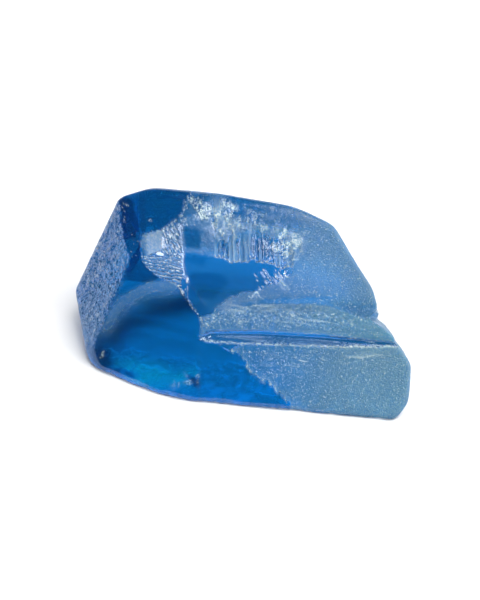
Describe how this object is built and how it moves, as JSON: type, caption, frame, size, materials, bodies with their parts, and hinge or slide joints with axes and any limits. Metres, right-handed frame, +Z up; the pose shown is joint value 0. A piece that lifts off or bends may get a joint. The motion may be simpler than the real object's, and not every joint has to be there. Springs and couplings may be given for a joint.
{
  "type": "rough topaz crystal",
  "caption": "Rough blue topaz crystal: one clear faceted lump with a glossy window, an etched end, broken growth columns and a flat cleavage base.",
  "frame": {"origin": "centre of the bounding box in plan, on the plane that the flat base rests on", "axes": "+X along the crystal's length from the etched end to the pale end, -Y towards the side with the clear window, +Z up from the base"},
  "size_m": [0.0446, 0.024, 0.0203],
  "materials": {
    "blue_topaz": "clear deep blue crystal, glossy on its clean faces and frosted where it is etched or broken"
  },
  "bodies": {
    "root": {"topaz_crystal": "blue_topaz"}
  },
  "joints": []
}
